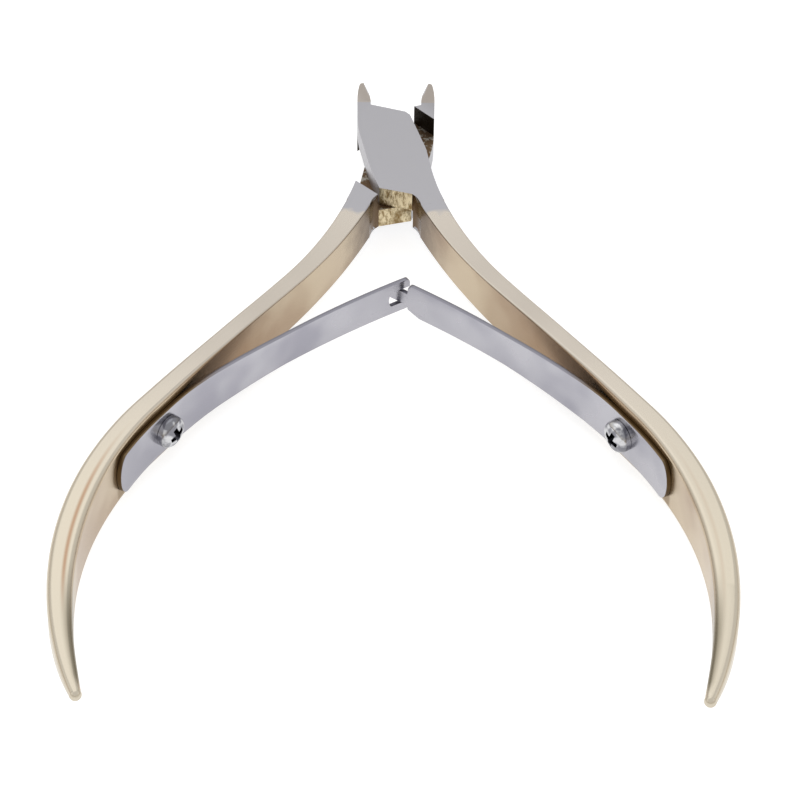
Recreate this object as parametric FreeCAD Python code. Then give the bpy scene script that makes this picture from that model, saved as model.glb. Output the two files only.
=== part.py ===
import FreeCAD, Part
import math
import os

# Cuticle nipper, lying flat and sprung open. Sizes in mm, angles in degrees.
# X is across the tool, +Y runs to the jaws and Z is the pivot's axis.
# Each half is drawn as the one with the left jaw and the right handle.

# Lap joint
joint_t = 5.0           # both plates together
lap_gap = 0.04          # running gap between the two plates
closing = 28.0          # turn from the open pose until the jaws meet
lap_clear = 0.15        # left between plate and shoulder when closed
plate_corner = (1.5, 6.85)
jaw_corner = (-2.95, 8.2)
plate_foot = (-1.84, -6.7)
plate_heel = (1.9, -7.7)

# Jaws
jaw_reach = 13.55       # from the pivot to the outer end of the cutting edge
jaw_tip_r = 0.5
jaw_out = 4.5
cut_gap = 0.02          # between the two cutting edges when closed
taper_y = 8.6           # where the jaws start to thin toward the tip
tip_t = 2.5
bevel_w = 0.45
land = 0.7              # height of the cutting edge left between the two bevels

# Pivot rivet, ground flush with both faces
rivet_r = 1.5
rivet_head_r = 2.1
rivet_head_t = 0.7
rivet_clear = 0.03

# Handles
neck = (4.25, -9.2)     # where the handle leaves the joint
neck_heading = 21.0     # from -Y toward +X
neck_turn = 14.5
neck_len = 15.7
straight_len = 25.9
grip_turn = 37.2
grip_len = 26.6
end_turn = 16.8
end_len = 13.3
neck_t = 2.8
belly_h = 7.9
ball_r = 0.7

# Leaf springs
leaf_t = 0.5
foot_w = 5.35
arm_w = 4.25
foot_from = 49.7        # along the handle's centre line, to the rounded end
lift_at = 39.0          # where the leaf leaves the handle
lift_len = 7.0
lift_turn = 9.5
cross = (0.6, -22.0)    # where the two leaves pass through each other
arm_bow = 0.7
end_round = 1.6         # length of the foot's rounded end
hinge_gap = 0.05        # between a foot and its arm
taper_from = 22.5       # the leaf narrows between these two distances from the middle
taper_to = 12.5
slot_back = 1.6         # slot and fork, measured along the leaf from the crossing
fork_len = 1.1
slot_h = 2.0
tongue_h = 1.6
tongue_back = 1.15
tongue_len = 1.8
shoulder_r = 0.5        # upper corner where the tongue begins
corner_cut = (1.6, 0.65)    # lower corner there, along the leaf and across it

# Leaf screws
screw_at = 40.2         # along the handle's centre line
screw_r = 1.0
screw_clear = 0.12
screw_depth = 1.7
head_r = 1.85
head_h = 1.5
head_crown = 0.35
cross_w = 0.5
cross_r = 1.15
cross_depth = 0.85

mid_z = belly_h / 2
top_z = mid_z + joint_t / 2
low_z = mid_z - joint_t / 2

# Distance along the handle, half thickness in the plane, half height, corner rounding
stations = [
    (0.0, neck_t / 2, joint_t / 2, 0.25),
    (7.0, 1.22, 2.55, 0.3),
    (16.0, 1.07, 2.9, 0.35),
    (27.0, 1.07, 3.55, 0.45),
    (38.0, 1.22, belly_h / 2, 0.6),
    (48.0, 1.36, 3.8, 0.95),
    (58.0, 1.5, 3.25, 1.25),
    (67.0, 1.4, 2.5, 1.25),
    (75.0, 1.12, 1.5, 1.0),
    (neck_len + straight_len + grip_len + end_len, 0.6, 0.65, 0.55),
]


def vec(x, y, z=0.0):
    return FreeCAD.Vector(x, y, z)


def turned(point, angle, about=(0.0, 0.0)):
    """Point turned counter-clockwise as seen from above."""
    a = math.radians(angle)
    x = point[0] - about[0]
    y = point[1] - about[1]
    return (about[0] + x * math.cos(a) - y * math.sin(a), about[1] + x * math.sin(a) + y * math.cos(a))


def heading_step(point, heading, length, turn):
    """End of an arc; a heading is measured from -Y toward +X and falls by the turn."""
    if abs(turn) < 1e-6:
        a = math.radians(heading)
        return (point[0] + length * math.sin(a), point[1] - length * math.cos(a)), heading
    chord = length * math.sin(math.radians(turn / 2)) / math.radians(turn / 2)
    a = math.radians(heading - turn / 2)
    return (point[0] + chord * math.sin(a), point[1] - chord * math.cos(a)), heading - turn


def handle_at(s):
    """Centre point and heading at distance s down the handle's centre line."""
    point, heading = neck, neck_heading
    bends = ((neck_len, -neck_turn), (straight_len, 0.0), (grip_len, grip_turn), (end_len, end_turn))
    for length, turn in bends:
        part = min(s, length)
        point, heading = heading_step(point, heading, part, turn * part / length)
        s -= part
        if s <= 0:
            break
    return point, heading


def inward(point, heading, distance):
    a = math.radians(heading)
    return (point[0] - distance * math.cos(a), point[1] - distance * math.sin(a))


def between(s, column):
    """A station value at distance s."""
    for low, high in zip(stations, stations[1:]):
        if s <= high[0]:
            k = (s - low[0]) / (high[0] - low[0])
            return low[column] + k * (high[column] - low[column])
    return stations[-1][column]


def line(a, b):
    return Part.makeLine(vec(*a), vec(*b))


def curve(points):
    spline = Part.BSplineCurve()
    spline.interpolate([vec(*p) for p in points])
    return spline.toShape()


def arc(a, b, c):
    return Part.Arc(vec(*a), vec(*b), vec(*c)).toShape()


def prism(edges, low, high):
    face = Part.Face(Part.Wire(edges))
    face.translate(vec(0, 0, low))
    return face.extrude(vec(0, 0, high - low))


def polygon_prism(points, low, high):
    wire = Part.makePolygon([vec(*p) for p in points + points[:1]])
    face = Part.Face(wire)
    face.translate(vec(0, 0, low))
    return face.extrude(vec(0, 0, high - low))


def flipped(shape):
    """Half a turn about the Y direction through the lap plane: the other half of the tool."""
    copy = shape.copy()
    copy.rotate(vec(0, 0, mid_z), vec(0, 1, 0), 180)
    return copy


def mirrored(shape):
    return shape.mirror(vec(0, 0, 0), vec(1, 0, 0))


def handle_section(s, half_t, half_h, r):
    """Rounded rectangle square to the handle's centre line."""
    point, heading = handle_at(s)
    a = math.radians(heading)
    inner = vec(-math.cos(a), -math.sin(a))
    up = vec(0, 0, 1)
    centre = vec(point[0], point[1], mid_z)
    edges = []
    k = math.sqrt(0.5)
    corners = [(1, 1), (-1, 1), (-1, -1), (1, -1)]
    for i, (sx, sz) in enumerate(corners):
        cx = sx * (half_t - r)
        cz = sz * (half_h - r)
        along_x = centre + inner * (cx + sx * r) + up * cz
        along_z = centre + inner * cx + up * (cz + sz * r)
        middle = centre + inner * (cx + sx * r * k) + up * (cz + sz * r * k)
        first, last = (along_x, along_z) if i % 2 == 0 else (along_z, along_x)
        if i:
            edges.append(Part.makeLine(previous, first))
        else:
            start = first
        edges.append(Part.Arc(first, middle, last).toShape())
        previous = last
    edges.append(Part.makeLine(previous, start))
    return Part.Wire(edges)


def handle():
    sections = [handle_section(*station) for station in stations]
    body = Part.makeLoft(sections, True, False)
    end, _ = handle_at(stations[-1][0])
    ball = Part.makeSphere(ball_r, vec(end[0], end[1], mid_z))
    return body.fuse(ball)


def cutting_point():
    """Outer end of the cutting edge: on the tool's axis when the jaws are closed."""
    half = math.radians(closing / 2)
    return (-jaw_reach * math.sin(half) - cut_gap, jaw_reach * math.cos(half))


def blank():
    """Jaw, joint plate and neck at full thickness."""
    edge = cutting_point()
    tip_out = (edge[0] - 2 * jaw_tip_r, edge[1])
    neck_in = inward(neck, neck_heading, neck_t / 2)
    neck_out = inward(neck, neck_heading, -neck_t / 2)
    below_corner = (plate_corner[0] + 0.15, plate_corner[1] - 0.45)
    beside_corner = (plate_corner[0] - 0.4, plate_corner[1] + 0.12)
    edges = [
        line(plate_foot, plate_heel),
        curve([plate_heel, (2.4, -8.25), neck_in]),
        line(neck_in, neck_out),
        curve([neck_out, (4.9, -6.7), (4.25, -4.0), (3.8, -1.4), (3.5, 0.3)]),
        line((3.5, 0.3), below_corner),
        line(below_corner, beside_corner),
        line(beside_corner, jaw_corner),
        curve([jaw_corner, (-3.0, 10.4), edge]),
        arc(edge, (edge[0] - jaw_tip_r, edge[1] + jaw_tip_r), tip_out),
        curve([
            tip_out, (-jaw_out, 10.9), (-jaw_out, 7.1), (-4.3, 3.5), (-3.95, 1.7), (-3.4, -1.0), plate_foot
        ]),
    ]
    return prism(edges, low_z, top_z)


def lap_cut():
    """What the other half's plate sweeps, from open to closed, below the lap plane."""
    low = low_z - 1
    high = mid_z + lap_gap / 2

    def closed(points):
        swept = [turned((-x, y), closing) for x, y in points]
        return [vec(*p) for p in swept]

    top = closed([jaw_corner, plate_corner])
    foot = closed([plate_heel, plate_foot])
    walls = []
    for (a, b), side in ((top, 1), (foot, -1)):
        run = (b - a).normalize()
        out = vec(run.y, -run.x) * side
        if out.y * side < 0:
            out = out * -1
        walls.append((a + out * lap_clear - run * 6, b + out * lap_clear + run * 6))
    (a, b), (c, d) = walls
    points = [(a.x, a.y), (b.x, b.y), (-9, -3), (c.x, c.y), (d.x, d.y), (9, 3)]
    return polygon_prism(points, low, high)


def jaw_cuts():
    """Thins the jaw toward its tip and bevels both faces down to the cutting edge."""
    drop = (joint_t - tip_t) / 2
    tip_y = cutting_point()[1] + jaw_tip_r
    far = tip_y + 1.0
    slope = drop / (tip_y - taper_y)
    cuts = []
    for side in (1, -1):
        face = mid_z + side * joint_t / 2
        end = face - side * slope * (far - taper_y)
        points = [
            vec(-8, taper_y, face),
            vec(-8, far, end),
            vec(-8, far, face + side),
            vec(-8, taper_y, face + side),
        ]
        cuts.append(Part.Face(Part.makePolygon(points + points[:1])).extrude(vec(8, 0, 0)))
        start = vec(jaw_corner[0], jaw_corner[1] + 0.1, face)
        edge = vec(*cutting_point(), mid_z + side * land / 2)
        rim = vec(edge.x - bevel_w, edge.y, mid_z + side * (joint_t / 2 - slope * (edge.y - taper_y)))
        normal = (rim - start).cross(edge - start).normalize()
        if normal.x < 0:
            normal = normal * -1
        over = start + (rim - start) * 1.4
        under = start + (edge - start) * 1.4
        facet = Part.Face(Part.makePolygon([start, over, under, start]))
        cuts.append(facet.extrude(normal * 1.5))
    return cuts


def rivet():
    """Shank with a flush countersunk head at each face."""
    profile = [
        vec(0, 0, low_z), vec(rivet_head_r, 0, low_z), vec(rivet_r, 0, low_z + rivet_head_t),
        vec(rivet_r, 0, top_z - rivet_head_t), vec(rivet_head_r, 0, top_z), vec(0, 0, top_z),
    ]
    face = Part.Face(Part.makePolygon(profile + profile[:1]))
    return face.revolve(vec(0, 0, 0), vec(0, 0, 1), 360)


def rivet_hole():
    """The rivet's own shape, larger all round by the running clearance."""
    r = rivet_r + rivet_clear
    wide = rivet_head_r + rivet_clear
    profile = [
        vec(0, 0, low_z - 1),
        vec(wide, 0, low_z - 1),
        vec(wide, 0, low_z),
        vec(r, 0, low_z + rivet_head_t + rivet_clear),
        vec(r, 0, top_z - rivet_head_t - rivet_clear),
        vec(wide, 0, top_z),
        vec(wide, 0, top_z + 1),
        vec(0, 0, top_z + 1),
    ]
    face = Part.Face(Part.makePolygon(profile + profile[:1]))
    return face.revolve(vec(0, 0, 0), vec(0, 0, 1), 360)


def screw_frame():
    """Point where the screw's axis meets the handle's inner face, and the way out of it."""
    point, heading = handle_at(screw_at)
    face = inward(point, heading, between(screw_at, 1))
    a = math.radians(heading)
    return vec(face[0], face[1], mid_z), vec(-math.cos(a), -math.sin(a))


def screw_hole():
    base, out = screw_frame()
    return Part.makeCylinder(screw_r, screw_depth + 1, base - out * screw_depth, out)


def front_half_plain():
    body = blank().cut(lap_cut())
    for cutter in jaw_cuts():
        body = body.cut(cutter)
    body = body.fuse(handle())
    return body.cut(screw_hole()).removeSplitter()


def screw():
    base, out = screw_frame()
    seat = base + out * leaf_t
    shank = Part.makeCylinder(screw_r, screw_depth + leaf_t, base - out * screw_depth, out)
    edge = head_h - head_crown
    profile = [vec(0, 0, 0), vec(head_r, 0, 0), vec(head_r, 0, edge)]
    outline = [Part.makeLine(profile[0], profile[1]), Part.makeLine(profile[1], profile[2])]
    rim = vec(head_r * 0.72, 0, head_h - 0.06)
    outline.append(Part.Arc(profile[2], vec(head_r * 0.93, 0, head_h - 0.13), rim).toShape())
    outline.append(Part.makeLine(rim, vec(0, 0, head_h)))
    outline.append(Part.makeLine(vec(0, 0, head_h), profile[0]))
    head = Part.Face(Part.Wire(outline)).revolve(vec(0, 0, 0), vec(0, 0, 1), 360)
    cone = Part.makeCone(0.3, cross_r, cross_depth, vec(0, 0, head_h - cross_depth), vec(0, 0, 1))
    cone = cone.fuse(Part.makeCylinder(cross_r, 1, vec(0, 0, head_h)))
    arms = []
    for angle in (0, 90):
        arm = Part.makeBox(2 * cross_r, cross_w, cross_depth + 1)
        arm.translate(vec(-cross_r, -cross_w / 2, head_h - cross_depth))
        arm.rotate(vec(0, 0, 0), vec(0, 0, 1), angle + 20)
        arms.append(arm)
    recess = arms[0].fuse(arms[1]).common(cone)
    head = head.cut(recess)
    head.Placement = FreeCAD.Placement(seat, FreeCAD.Rotation(vec(0, 0, 1), out))
    return shank.fuse(head).removeSplitter()


def leaf_line():
    """Centre line of the clamped part: two end points, their headings and the lift's end."""
    off = leaf_t / 2
    lift, heading = handle_at(lift_at)
    start = inward(lift, heading, between(lift_at, 1) + off)
    back = heading + lift_turn
    chord = lift_len * math.sin(math.radians(lift_turn / 2)) / math.radians(lift_turn / 2)
    a = math.radians(heading + lift_turn / 2)
    end = (start[0] - chord * math.sin(a), start[1] + chord * math.cos(a))
    return start, heading, end, back


def offset_arc(samples, side):
    """Curve through leaf points, shifted to one face of the leaf."""
    return curve([inward(p, h, side * leaf_t / 2) for p, h in samples])


def foot_samples():
    points = []
    for s in (foot_from, 47.0, 44.3, 41.6, lift_at):
        point, heading = handle_at(s)
        points.append((inward(point, heading, between(s, 1) + leaf_t / 2), heading))
    start, heading, end, back = leaf_line()
    for k in (0.33, 0.67):
        chord = lift_len * k
        a = math.radians(heading + lift_turn * k / 2)
        point = (start[0] - chord * math.sin(a), start[1] + chord * math.cos(a))
        points.append((point, heading + lift_turn * k))
    points.append((end, back))
    return points


def width_profile(edges_points, low_y, high_y):
    """Solid seen along Y with the given outline in X and Z."""
    face = Part.Face(Part.Wire(edges_points))
    face.translate(vec(0, low_y, 0))
    return face.extrude(vec(0, high_y - low_y, 0))


def half_width(x):
    if x >= taper_from:
        return foot_w / 2
    if x <= taper_to:
        return arm_w / 2
    k = (x - taper_to) / (taper_from - taper_to)
    return (arm_w + k * (foot_w - arm_w)) / 2


def side_line(x1, z1, x2, z2):
    return Part.makeLine(vec(x1, 0, mid_z + z1), vec(x2, 0, mid_z + z2))


def side_arc(x1, z1, x2, z2, x3, z3):
    """Like side_line, an edge of a leaf's side view with Z from the leaf's middle."""
    points = [vec(x, 0, mid_z + z) for x, z in ((x1, z1), (x2, z2), (x3, z3))]
    return Part.Arc(*points).toShape()


def spring_foot():
    samples = foot_samples()
    a = offset_arc(samples, 1)
    b = offset_arc(samples, -1)
    first, last = a.Vertexes[0].Point, a.Vertexes[-1].Point
    other_first, other_last = b.Vertexes[0].Point, b.Vertexes[-1].Point
    edges = [a, Part.makeLine(last, other_last), b, Part.makeLine(other_first, first)]
    strip = Part.Face(Part.Wire(Part.__sortEdges__(edges)))
    strip = strip.extrude(vec(0, 0, belly_h))
    far = max(first.x, other_first.x)
    near = min(last.x, other_last.x) - 0.1
    w = foot_w / 2
    round_x = far - end_round
    n = half_width(near)
    k = math.sqrt(0.5)
    outline = [
        side_line(near, -n, taper_from, -w),
        side_line(taper_from, -w, round_x, -w),
        side_arc(round_x, -w, round_x + end_round * k, -w * k, far, 0),
        side_arc(far, 0, round_x + end_round * k, w * k, round_x, w),
        side_line(round_x, w, taper_from, w),
        side_line(taper_from, w, near, n),
        side_line(near, n, near, -n),
    ]
    foot = strip.common(width_profile(outline, -60, -20))
    base, out = screw_frame()
    hole = Part.makeCylinder(screw_r + screw_clear, 3, base - out, out)
    return foot.cut(handle()).cut(hole).cut(screw()).cut(foot_end_cut())


def arm_geometry(cross_x):
    """Hinge point, arc through the bow to the crossing, and the direction there."""
    _, _, hinge, _ = leaf_line()
    target = (cross_x, cross[1])
    run = (target[0] - hinge[0], target[1] - hinge[1])
    length = math.hypot(*run)
    u = (run[0] / length, run[1] / length)
    normal = (-u[1], u[0]) if u[0] > 0 else (u[1], -u[0])
    centre = ((hinge[0] + target[0]) / 2, (hinge[1] + target[1]) / 2)
    radius = (length * length / 4 + arm_bow * arm_bow) / (2 * arm_bow)
    middle = (centre[0] + normal[0] * (arm_bow - radius), centre[1] + normal[1] * (arm_bow - radius))
    half = math.asin(length / 2 / radius)

    def at(k, off=0.0):
        """Point at fraction k of the arc, shifted off toward the handle."""
        a = (2 * k - 1) * half
        r = radius + off
        return (
            middle[0] + r * (normal[0] * math.cos(a) + u[0] * math.sin(a)),
            middle[1] + r * (normal[1] * math.cos(a) + u[1] * math.sin(a)),
        )

    c, s = math.cos(half), math.sin(half)
    tangent = (u[0] * c - normal[0] * s, u[1] * c - normal[1] * s)
    return hinge, at, tangent


def spring_arm(cross_x, reach):
    """Thin strip from the foot's end to reach mm past the crossing, full width, not yet shaped."""
    hinge, at, tangent = arm_geometry(cross_x)
    t = leaf_t / 2
    side = (-tangent[1], tangent[0])
    if side[1] < 0:
        side = (-side[0], -side[1])
    end = (at(1)[0] + tangent[0] * reach, at(1)[1] + tangent[1] * reach)
    out_end = (end[0] + side[0] * t, end[1] + side[1] * t)
    in_end = (end[0] - side[0] * t, end[1] - side[1] * t)
    edges = [
        arc(at(0, t), at(0.5, t), at(1, t)),
        line(at(1, t), out_end),
        line(out_end, in_end),
        line(in_end, at(1, -t)),
        arc(at(1, -t), at(0.5, -t), at(0, -t)),
    ]
    back = (hinge[0] - (at(0.01)[0] - hinge[0]), hinge[1] - (at(0.01)[1] - hinge[1]))
    run = math.hypot(back[0] - hinge[0], back[1] - hinge[1])
    nose = (hinge[0] + (back[0] - hinge[0]) / run * t, hinge[1] + (back[1] - hinge[1]) / run * t)
    edges.append(arc(at(0, -t), nose, at(0, t)))
    return Part.Face(Part.Wire(edges)).extrude(vec(0, 0, belly_h)), tangent, end


def arm_outline(hinge_x, end_x):
    """Both long edges of the leaf's side view from the hinge to the given end."""
    far = hinge_x + 1
    a = arm_w / 2
    w = half_width(far)
    top = [side_line(far, w, taper_to, a), side_line(taper_to, a, end_x, a)]
    low = [side_line(end_x, -a, taper_to, -a), side_line(taper_to, -a, far, -w)]
    return top, low, side_line(far, -w, far, w)


def forked_arm():
    """Leaf with a slot open at its end, drawn on the +X side."""
    strip, tangent, end = spring_arm(-cross[0], fork_len)
    hinge, _, _ = arm_geometry(-cross[0])
    top, low, back = arm_outline(hinge[0], end[0] - 1)
    outline = top + [side_line(end[0] - 1, arm_w / 2, end[0] - 1, -arm_w / 2)] + low + [back]
    body = strip.common(width_profile(outline, -60, -5))
    slot_x = -cross[0] - slot_back * tangent[0]
    r = slot_h / 2
    arc_r = 0.35
    slot = [
        side_line(end[0] - 2, r, slot_x - arc_r, r),
        side_arc(slot_x - arc_r, r, slot_x, 0, slot_x - arc_r, -r),
        side_line(slot_x - arc_r, -r, end[0] - 2, -r),
        side_line(end[0] - 2, -r, end[0] - 2, r),
    ]
    return body.cut(width_profile(slot, -60, -5))


def tongued_arm():
    """Leaf whose end narrows to a round-ended tongue, drawn on the +X side."""
    strip, tangent, end = spring_arm(cross[0], tongue_len + 1)
    hinge, _, _ = arm_geometry(cross[0])
    shoulder = cross[0] - tongue_back * tangent[0]
    tip = cross[0] + tongue_len * tangent[0]
    r = tongue_h / 2
    a = arm_w / 2
    q = shoulder_r * (1 - math.sqrt(0.5))
    cut_along, cut_across = corner_cut
    top, _, back = arm_outline(hinge[0], shoulder + shoulder_r)
    _, low, _ = arm_outline(hinge[0], shoulder + cut_along)
    outline = top + [
        side_arc(shoulder + shoulder_r, a, shoulder + q, a - q, shoulder, a - shoulder_r),
        side_line(shoulder, a - shoulder_r, shoulder, r),
        side_line(shoulder, r, tip + 0.5, r),
        side_arc(tip + 0.5, r, tip, 0, tip + 0.5, -r),
        side_line(tip + 0.5, -r, shoulder, -r),
        side_line(shoulder, -r, shoulder, cut_across - a),
        side_line(shoulder, cut_across - a, shoulder + cut_along, -a),
    ] + low + [back]
    return strip.common(width_profile(outline, -60, -5))


def foot_end_cut():
    """Room for the arm's round end, so that the foot stops just short of it."""
    _, _, hinge, _ = leaf_line()
    r = leaf_t / 2 + hinge_gap
    return Part.makeCylinder(r, belly_h, vec(hinge[0], hinge[1], 0))


def save(shape, node, place):
    shape.translate(place)
    shape.exportStep("parts/" + node + ".step")


def build():
    os.makedirs("parts", exist_ok=True)
    half = front_half_plain()
    front = half.cut(rivet())
    back = flipped(half).cut(rivet_hole())
    foot = spring_foot()
    nodes = {
        "front_half": front,
        "back_half": back,
        "pivot_rivet": rivet(),
        "right_spring_foot": foot,
        "left_spring_foot": mirrored(foot),
        "right_spring_arm": tongued_arm(),
        "left_spring_arm": mirrored(forked_arm()),
        "right_screw": screw(),
        "left_screw": mirrored(screw()),
    }
    box = front.optimalBoundingBox()
    place = vec(0, -(box.YMin + box.YMax) / 2, -box.ZMin)
    print("pivot at", place, "rest plane to lap plane", round(mid_z - box.ZMin, 3))
    for node, shape in nodes.items():
        print(node, shape.isValid(), len(shape.Solids), round(shape.Volume, 2), shape.BoundBox)
        save(shape, node, place)


build()
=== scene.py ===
import bmesh
import bpy
import math
from mathutils import Matrix, Vector


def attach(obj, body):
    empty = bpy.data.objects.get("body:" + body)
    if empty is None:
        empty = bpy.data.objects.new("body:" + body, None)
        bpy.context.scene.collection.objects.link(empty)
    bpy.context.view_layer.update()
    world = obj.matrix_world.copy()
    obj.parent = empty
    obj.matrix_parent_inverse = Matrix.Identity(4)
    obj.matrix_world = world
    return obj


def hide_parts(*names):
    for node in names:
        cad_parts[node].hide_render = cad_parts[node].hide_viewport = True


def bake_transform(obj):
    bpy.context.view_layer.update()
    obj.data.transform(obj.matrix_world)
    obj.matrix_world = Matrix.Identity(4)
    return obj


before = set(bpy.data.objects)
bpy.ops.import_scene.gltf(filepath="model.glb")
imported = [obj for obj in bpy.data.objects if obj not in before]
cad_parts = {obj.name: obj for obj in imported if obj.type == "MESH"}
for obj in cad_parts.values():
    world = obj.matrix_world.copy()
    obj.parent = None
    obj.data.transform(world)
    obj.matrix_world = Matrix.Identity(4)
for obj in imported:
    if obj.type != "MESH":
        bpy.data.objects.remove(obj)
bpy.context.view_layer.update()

mm = 0.001
pivotY = 34.592    # the pivot's place in the row frame, mm
lapZ = 3.961       # height of the lap plane
weld = 0.000002    # m, points nearer than this become one


def toRow(x, y, z=0.0):
    # pivot coordinates in mm to the row frame in metres
    return Vector((x * mm, (y + pivotY) * mm, (z + lapZ) * mm))


handleShape = {
    "neck": (4.25, -9.2),
    "heading": 21.0,           # degrees, from -Y toward +X
    "bends": [(15.7, -14.5), (25.9, 0.0), (26.6, 37.2), (13.3, 16.8)],   # length mm, turn
    # distance, half thickness, half height, corner radius
    "stations": [
        (0.0, 1.4, 2.5, 0.16),
        (7.0, 1.22, 2.55, 0.2),
        (16.0, 1.07, 2.9, 0.22),
        (27.0, 1.07, 3.55, 0.3),
        (38.0, 1.22, 3.95, 0.5),
        (48.0, 1.36, 3.8, 0.55),
        (58.0, 1.5, 3.25, 0.7),
        (67.0, 1.4, 2.5, 0.75),
        (75.0, 1.12, 1.5, 0.7),
        (81.5, 0.62, 0.66, 0.56),
    ],
    "endBallRadius": 0.67,
    "stepsAlong": 240,
    "stepsAround": 56,
    "pathSteps": 160,
}

leafShape = {
    "thickness": 0.5,
    "footWidth": 5.35,
    "armWidth": 4.25,
    "footFrom": 49.7,       # distance down the handle to the rounded end
    "liftAt": 39.0,
    "liftLength": 7.0,
    "liftTurn": 9.5,
    "crossX": 0.6,
    "crossY": -22.0,
    "armBow": 0.7,
    "taperFrom": 22.5,
    "taperTo": 12.5,
    "endRound": 1.6,
    "slotBack": 1.6,
    "forkLength": 1.1,
    "slotHeight": 2.0,
    "tongueHeight": 1.6,
    "tongueBack": 1.15,
    "tongueLength": 1.8,
    "shoulderRound": 0.5,
    "cornerCutLong": 1.6,   # the tongued leaf's lower corner, cut slanting
    "cornerCutDeep": 0.65,
    "clearOfHandle": 0.03,
    "slotRound": 0.35,
    "forkRound": 0.5,
    "edgeRound": 0.07,
    "rowsAcross": 6,
    "footStep": 0.4,
    "liftSteps": 12,
    "armSteps": 60,
    "endSteps": 8,
    "blendHalf": 4.0,       # mm either side of the bending line
}

screwShape = {
    "at": 40.2,
    "headRadius": 1.85,
    "headHeight": 1.5,
    "rimRound": 0.72,
    "dome": 0.28,
    "crossWidth": 0.62,
    "crossReach": 1.15,
    "crossDepth": 0.85,
    "crossFloor": (0.45, 0.8),    # share of reach and of width at its floor
    "crossMouth": (1.08, 1.1),    # and just above the head
    "edgeRound": 0.04,
    "turns": 72,
    "turn": 20.0,
}


def handleAt(s):
    # place and heading on the centre line of the +X handle, s mm down from the neck
    x, y = handleShape["neck"]
    heading = handleShape["heading"]
    for length, turn in handleShape["bends"]:
        part = min(s, length) if s > 0 else s
        bit = turn * part / length
        chord = part
        if abs(bit) >= 1e-6:
            chord *= math.sin(math.radians(bit / 2)) / math.radians(bit / 2)
        a = math.radians(heading - bit / 2)
        x += chord * math.sin(a)
        y -= chord * math.cos(a)
        heading -= bit
        s -= part
        if s <= 0:
            break
    return x, y, heading


def inward(x, y, heading, distance):
    a = math.radians(heading)
    return x - distance * math.cos(a), y - distance * math.sin(a)


def halfThickness(s):
    rows = handleShape["stations"]
    for low, high in zip(rows, rows[1:]):
        if s <= high[0]:
            return low[1] + (s - low[0]) / (high[0] - low[0]) * (high[1] - low[1])
    return rows[-1][1]


def newObject(name, mesh):
    obj = bpy.data.objects.new(name, mesh)
    bpy.context.scene.collection.objects.link(obj)
    return obj


def lineObject(name, points):
    mesh = bpy.data.meshes.new(name)
    mesh.from_pydata(points, [(i, i + 1) for i in range(len(points) - 1)], [])
    return newObject(name, mesh)


def bakeModifiers(obj):
    bpy.context.view_layer.update()
    evaluated = obj.evaluated_get(bpy.context.evaluated_depsgraph_get())
    mesh = bpy.data.meshes.new_from_object(evaluated)
    obj.modifiers.clear()
    obj.data = mesh
    return obj


def addNode(tree, kind, settings=None, inputs=None):
    # settings are the node's own options; an input is a value, a node or a (node, output) pair
    node = tree.nodes.new(kind)
    for key, value in (settings or {}).items():
        setattr(node, key, value)
    for key, value in (inputs or {}).items():
        if isinstance(value, bpy.types.Node):
            value = (value, 0)
        if isinstance(value, tuple) and isinstance(value[0], bpy.types.Node):
            tree.links.new(value[0].outputs[value[1]], node.inputs[key])
        else:
            node.inputs[key].default_value = value
    return node


def linear(hexColour):
    out = []
    for i in (1, 3, 5):
        c = int(hexColour[i:i + 2], 16) / 255
        out.append(c / 12.92 if c <= 0.04045 else ((c + 0.055) / 1.055) ** 2.4)
    return (*out, 1.0)


def newTree(name, sockets):
    tree = bpy.data.node_groups.new(name, "GeometryNodeTree")
    tree.interface.new_socket("Geometry", in_out="INPUT", socket_type="NodeSocketGeometry")
    for label, kind, value in sockets:
        socket = tree.interface.new_socket(label, in_out="INPUT", socket_type=kind)
        if value is not None:
            socket.default_value = value
    tree.interface.new_socket("Geometry", in_out="OUTPUT", socket_type="NodeSocketGeometry")
    return tree


def applyTree(obj, tree, values):
    modifier = obj.modifiers.new(tree.name, "NODES")
    modifier.node_group = tree
    for item in tree.interface.items_tree:
        if item.in_out == "INPUT" and item.name in values:
            modifier[item.identifier] = values[item.name]
    return bakeModifiers(obj)


finish = {
    "plate": "#BDB5AA",            # pale champagne plating on the upward bands
    "plateLow": "#C4BBAA",         # toward the tips the bands turn creamier
    "plateShadedSide": "#C0AF96",        # the same plating on the sides, painted deeper as their shade
    "plateDeep": "#A9937A",        # where it is thickest
    "neckShadeBrown": "#5A4328",        # painted shade on the neck beside the joint, dark brown
    "leafShadeBrown": "#8E6F4E",        # and beside the leaf, painted shade and reflection of the leaf
    "reflectedLine": "#9C7656",         # painted reflection, an orange-brown line along the inner edge of the grips
    "tipShade": "#7B7362",
    "footContactShadow": "#8C7759",        # painted contact shadow and reflection, brown round the rim of each leaf foot
    "steel": "#A6A5A9",
    "gilt": "#E2D3B0",
    "giltGrainAndShade": "#80673D",
    "leaf": "#B4B3B9",
    "leafDark": "#9B9AA3",
    "leafEdge": "#7F7E86",
    "leafEdgeShadow": "#675740",
    # painted shade in the lap recesses: nearly black walls, brown floors
    "recess": "#2E261C",
    "recessFloorShade": "#6A5642",
    "recessGrey": "#A39E94",
    "screw": "#C6C6C8",
    "screwDarkReflection": "#7E7E84",
    "screwPit": "#46464B",
    "floor": "#BEBEBE",
    "giltGrain": 0.13,             # mm, scratches in the joint's end faces
    "steelLine": 0.05,             # mm, grinding lines
    "steelCoarser": 4,             # they are drawn this much coarser than they are
    "steelFrom": -10.9,            # mm from the pivot, bare steel ends here on the ground faces
    "steelBlur": 0.55,             # mm, half the width of that change
    "steelWander": 3.4,            # mm, how far it strays either way in all
    "plateRough": 0.27,
    "steelRough": 0.38,
    "steelBump": 0.16,
    "giltRough": 0.36,
    "recessRough": 0.5,
    "edgeRough": 0.3,
    "screwRough": 0.2,
}

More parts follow.
